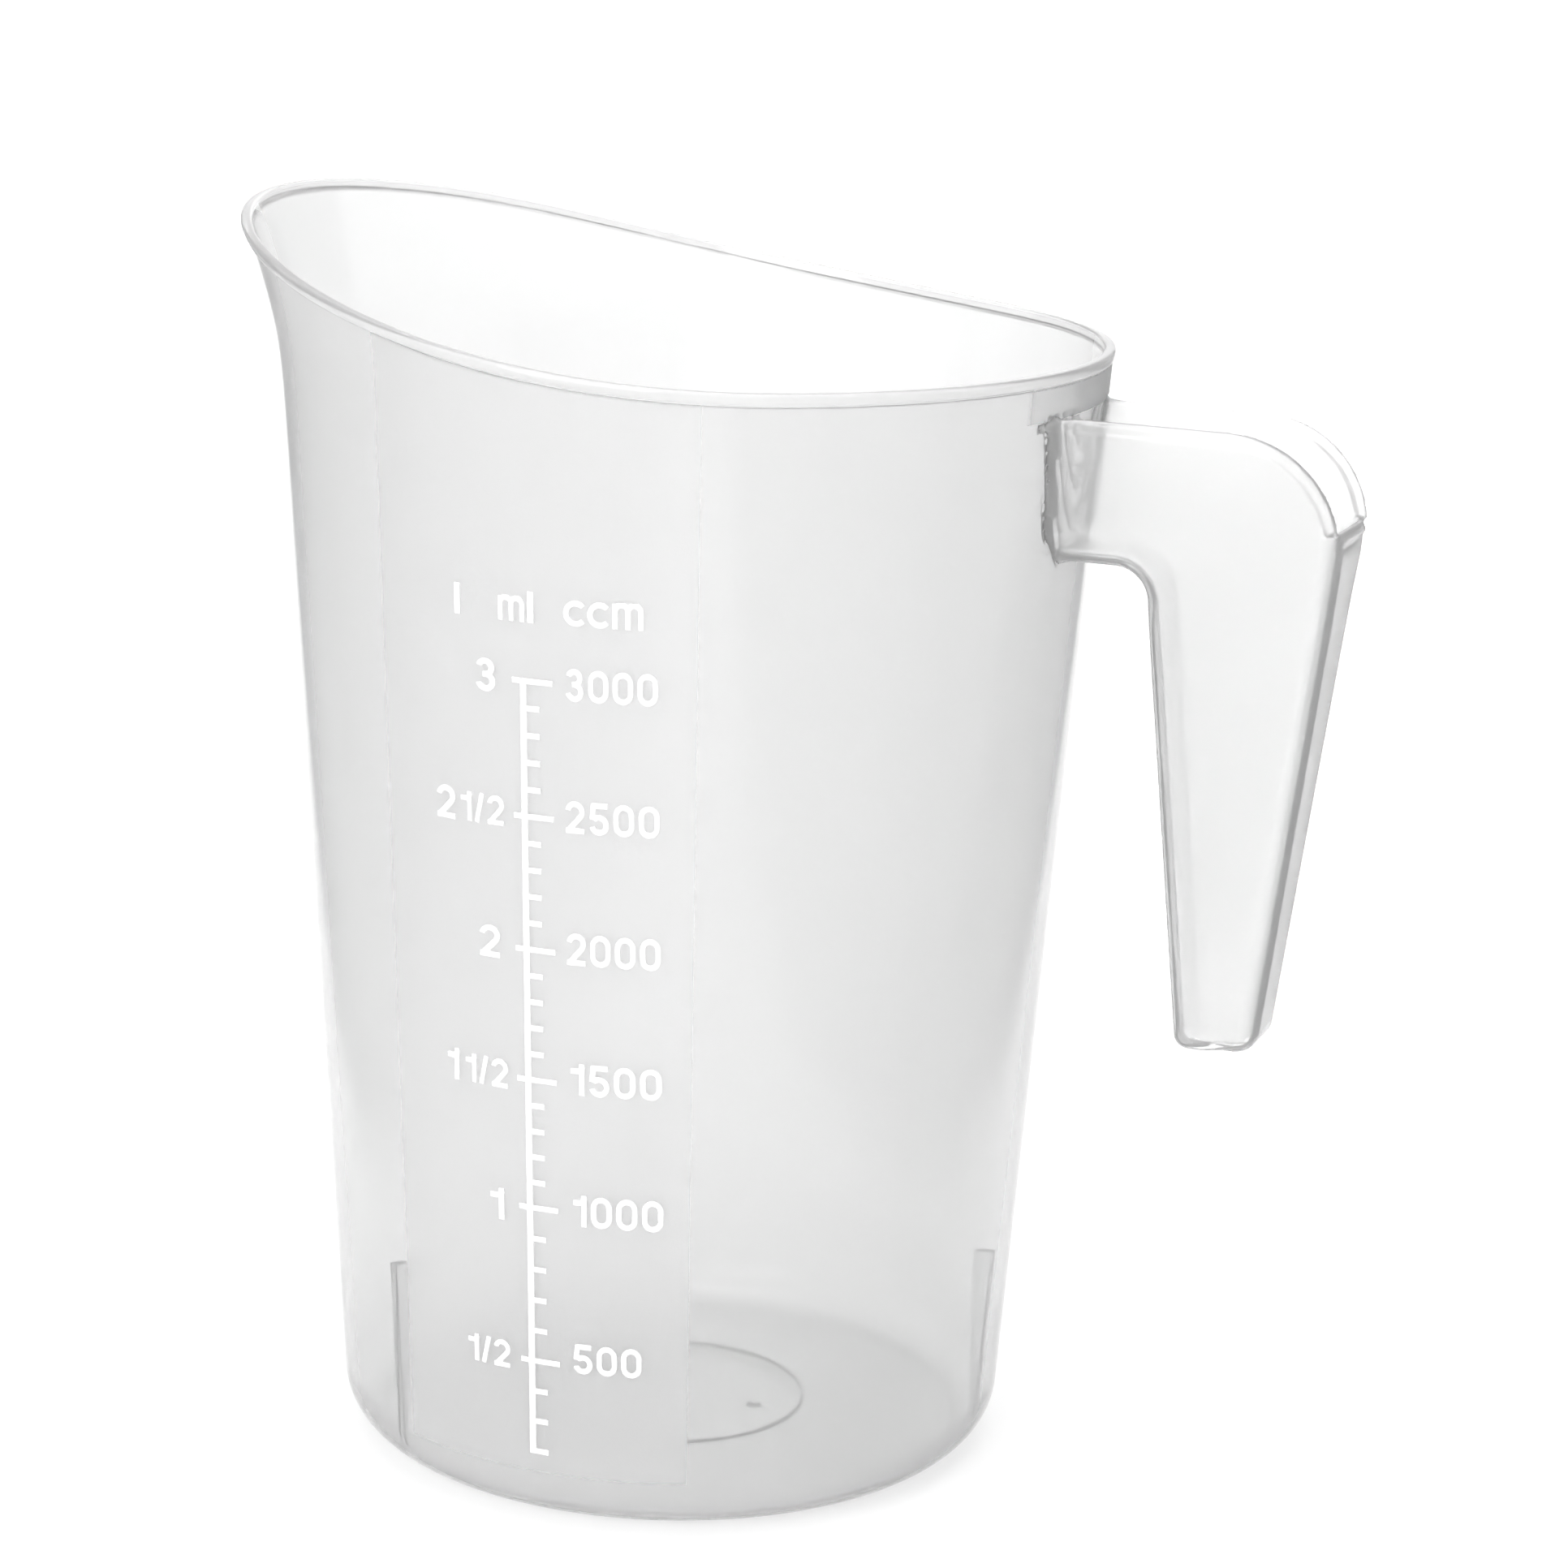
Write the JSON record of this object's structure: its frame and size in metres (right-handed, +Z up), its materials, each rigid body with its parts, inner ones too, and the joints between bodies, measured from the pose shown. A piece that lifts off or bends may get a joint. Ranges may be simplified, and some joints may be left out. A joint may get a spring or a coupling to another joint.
{
  "type": "measuring jug",
  "caption": "Tall tapered measuring jug in translucent plastic, with a flared pouring lip, a raised litre scale on a frosted field and an open hooked handle.",
  "frame": {"origin": "centre of the foot ring, on the plane that the jug stands on", "axes": "+Z up, +X towards the handle, -X towards the pouring lip, -Y towards the scale"},
  "size_m": [0.2348, 0.1722, 0.2605],
  "materials": {
    "moulded_body": "polished moulded polypropylene, translucent natural",
    "eroded_field": "spark-eroded texture, translucent natural",
    "raised_scale": "polished raised marks, translucent natural"
  },
  "bodies": {
    "root": {"jug_wall": "moulded_body", "base_corner": "moulded_body", "foot_ring": "moulded_body", "floor_slope": "moulded_body", "floor_middle": "moulded_body", "floor_mark": "moulded_body", "rim_bead": "moulded_body", "front_field": "eroded_field", "rear_field": "eroded_field", "stacking_ribs": "moulded_body", "handle_arm": "moulded_body", "handle_bend": "moulded_body", "handle_grip": "moulded_body", "handle_end": "moulded_body", "handle_edge": "moulded_body", "handle_root_sweeps": "moulded_body", "handle_root_field": "eroded_field", "scale_line": "raised_scale", "scale_500_marks": "raised_scale", "scale_100_marks": "raised_scale"}
  },
  "joints": []
}
